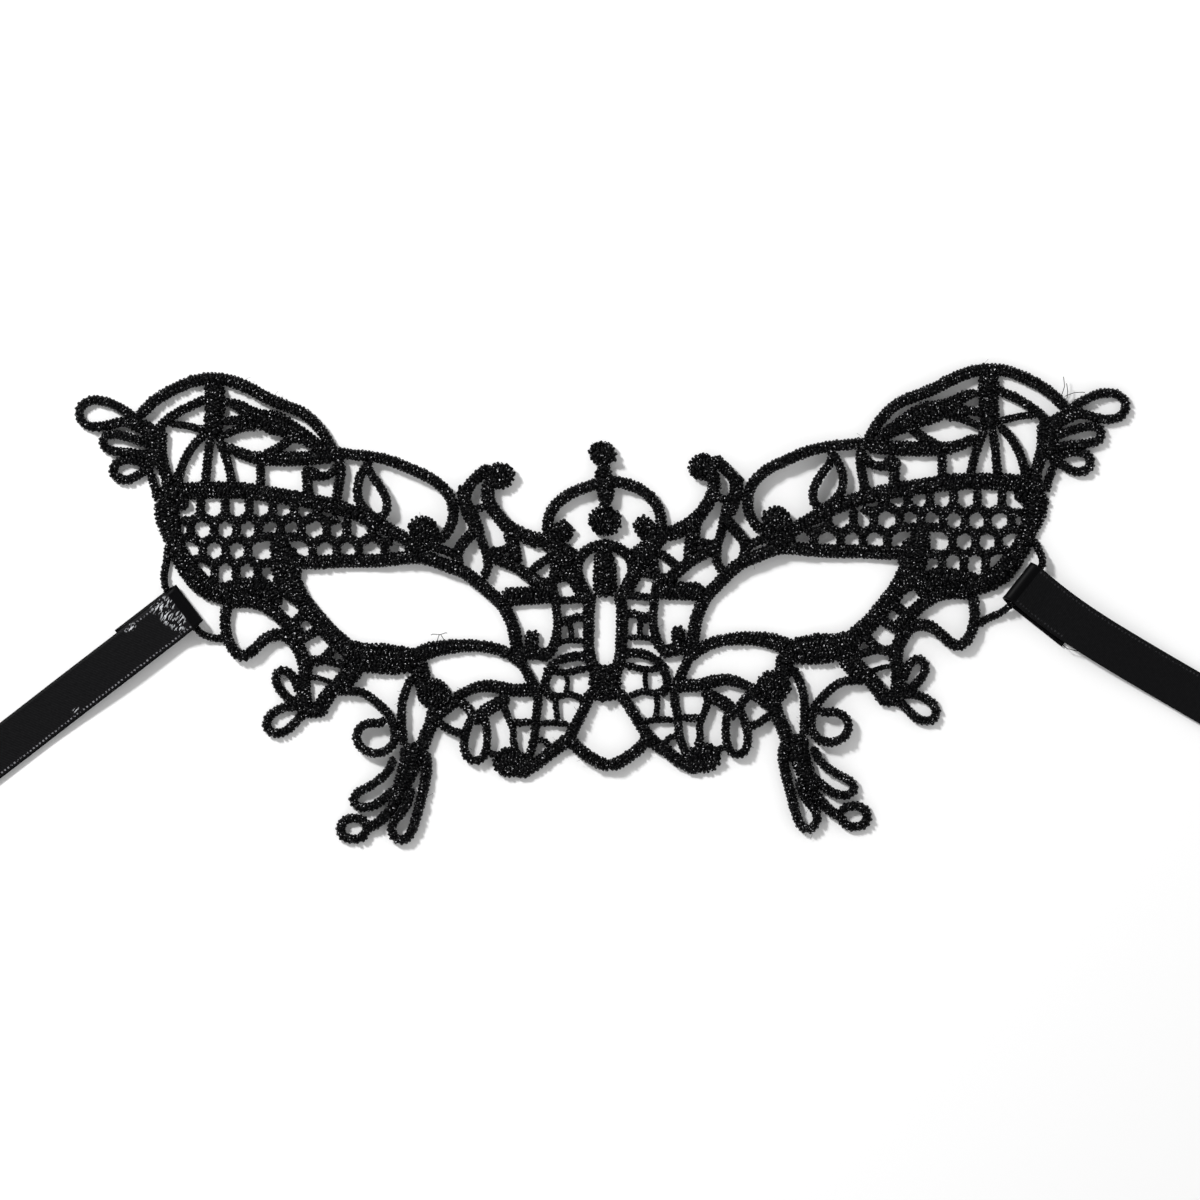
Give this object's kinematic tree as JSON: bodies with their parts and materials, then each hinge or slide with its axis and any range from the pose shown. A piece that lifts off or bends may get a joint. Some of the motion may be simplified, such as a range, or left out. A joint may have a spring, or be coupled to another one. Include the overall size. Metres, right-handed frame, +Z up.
{
  "type": "lace half mask",
  "caption": "Embroidered lace half mask laid flat, with pierced scrollwork round two eye openings and a satin ribbon tie folded round a loop at each side.",
  "frame": {"origin": "middle of the underside of the whole part's bounding box, on the surface that the mask lies on", "axes": "+X along the mask's width towards the right-hand ribbon, +Y from the chin edge to the brow edge, +Z up out of the lace's face"},
  "size_m": [0.2956, 0.1086, 0.0038],
  "materials": {
    "black_thread": "glossy embroidery thread, satin stitched",
    "black_satin": "satin weave ribbon"
  },
  "bodies": {
    "root": {"lace_panel": "black_thread", "ribbon_left": "black_satin", "ribbon_right": "black_satin"}
  },
  "joints": []
}
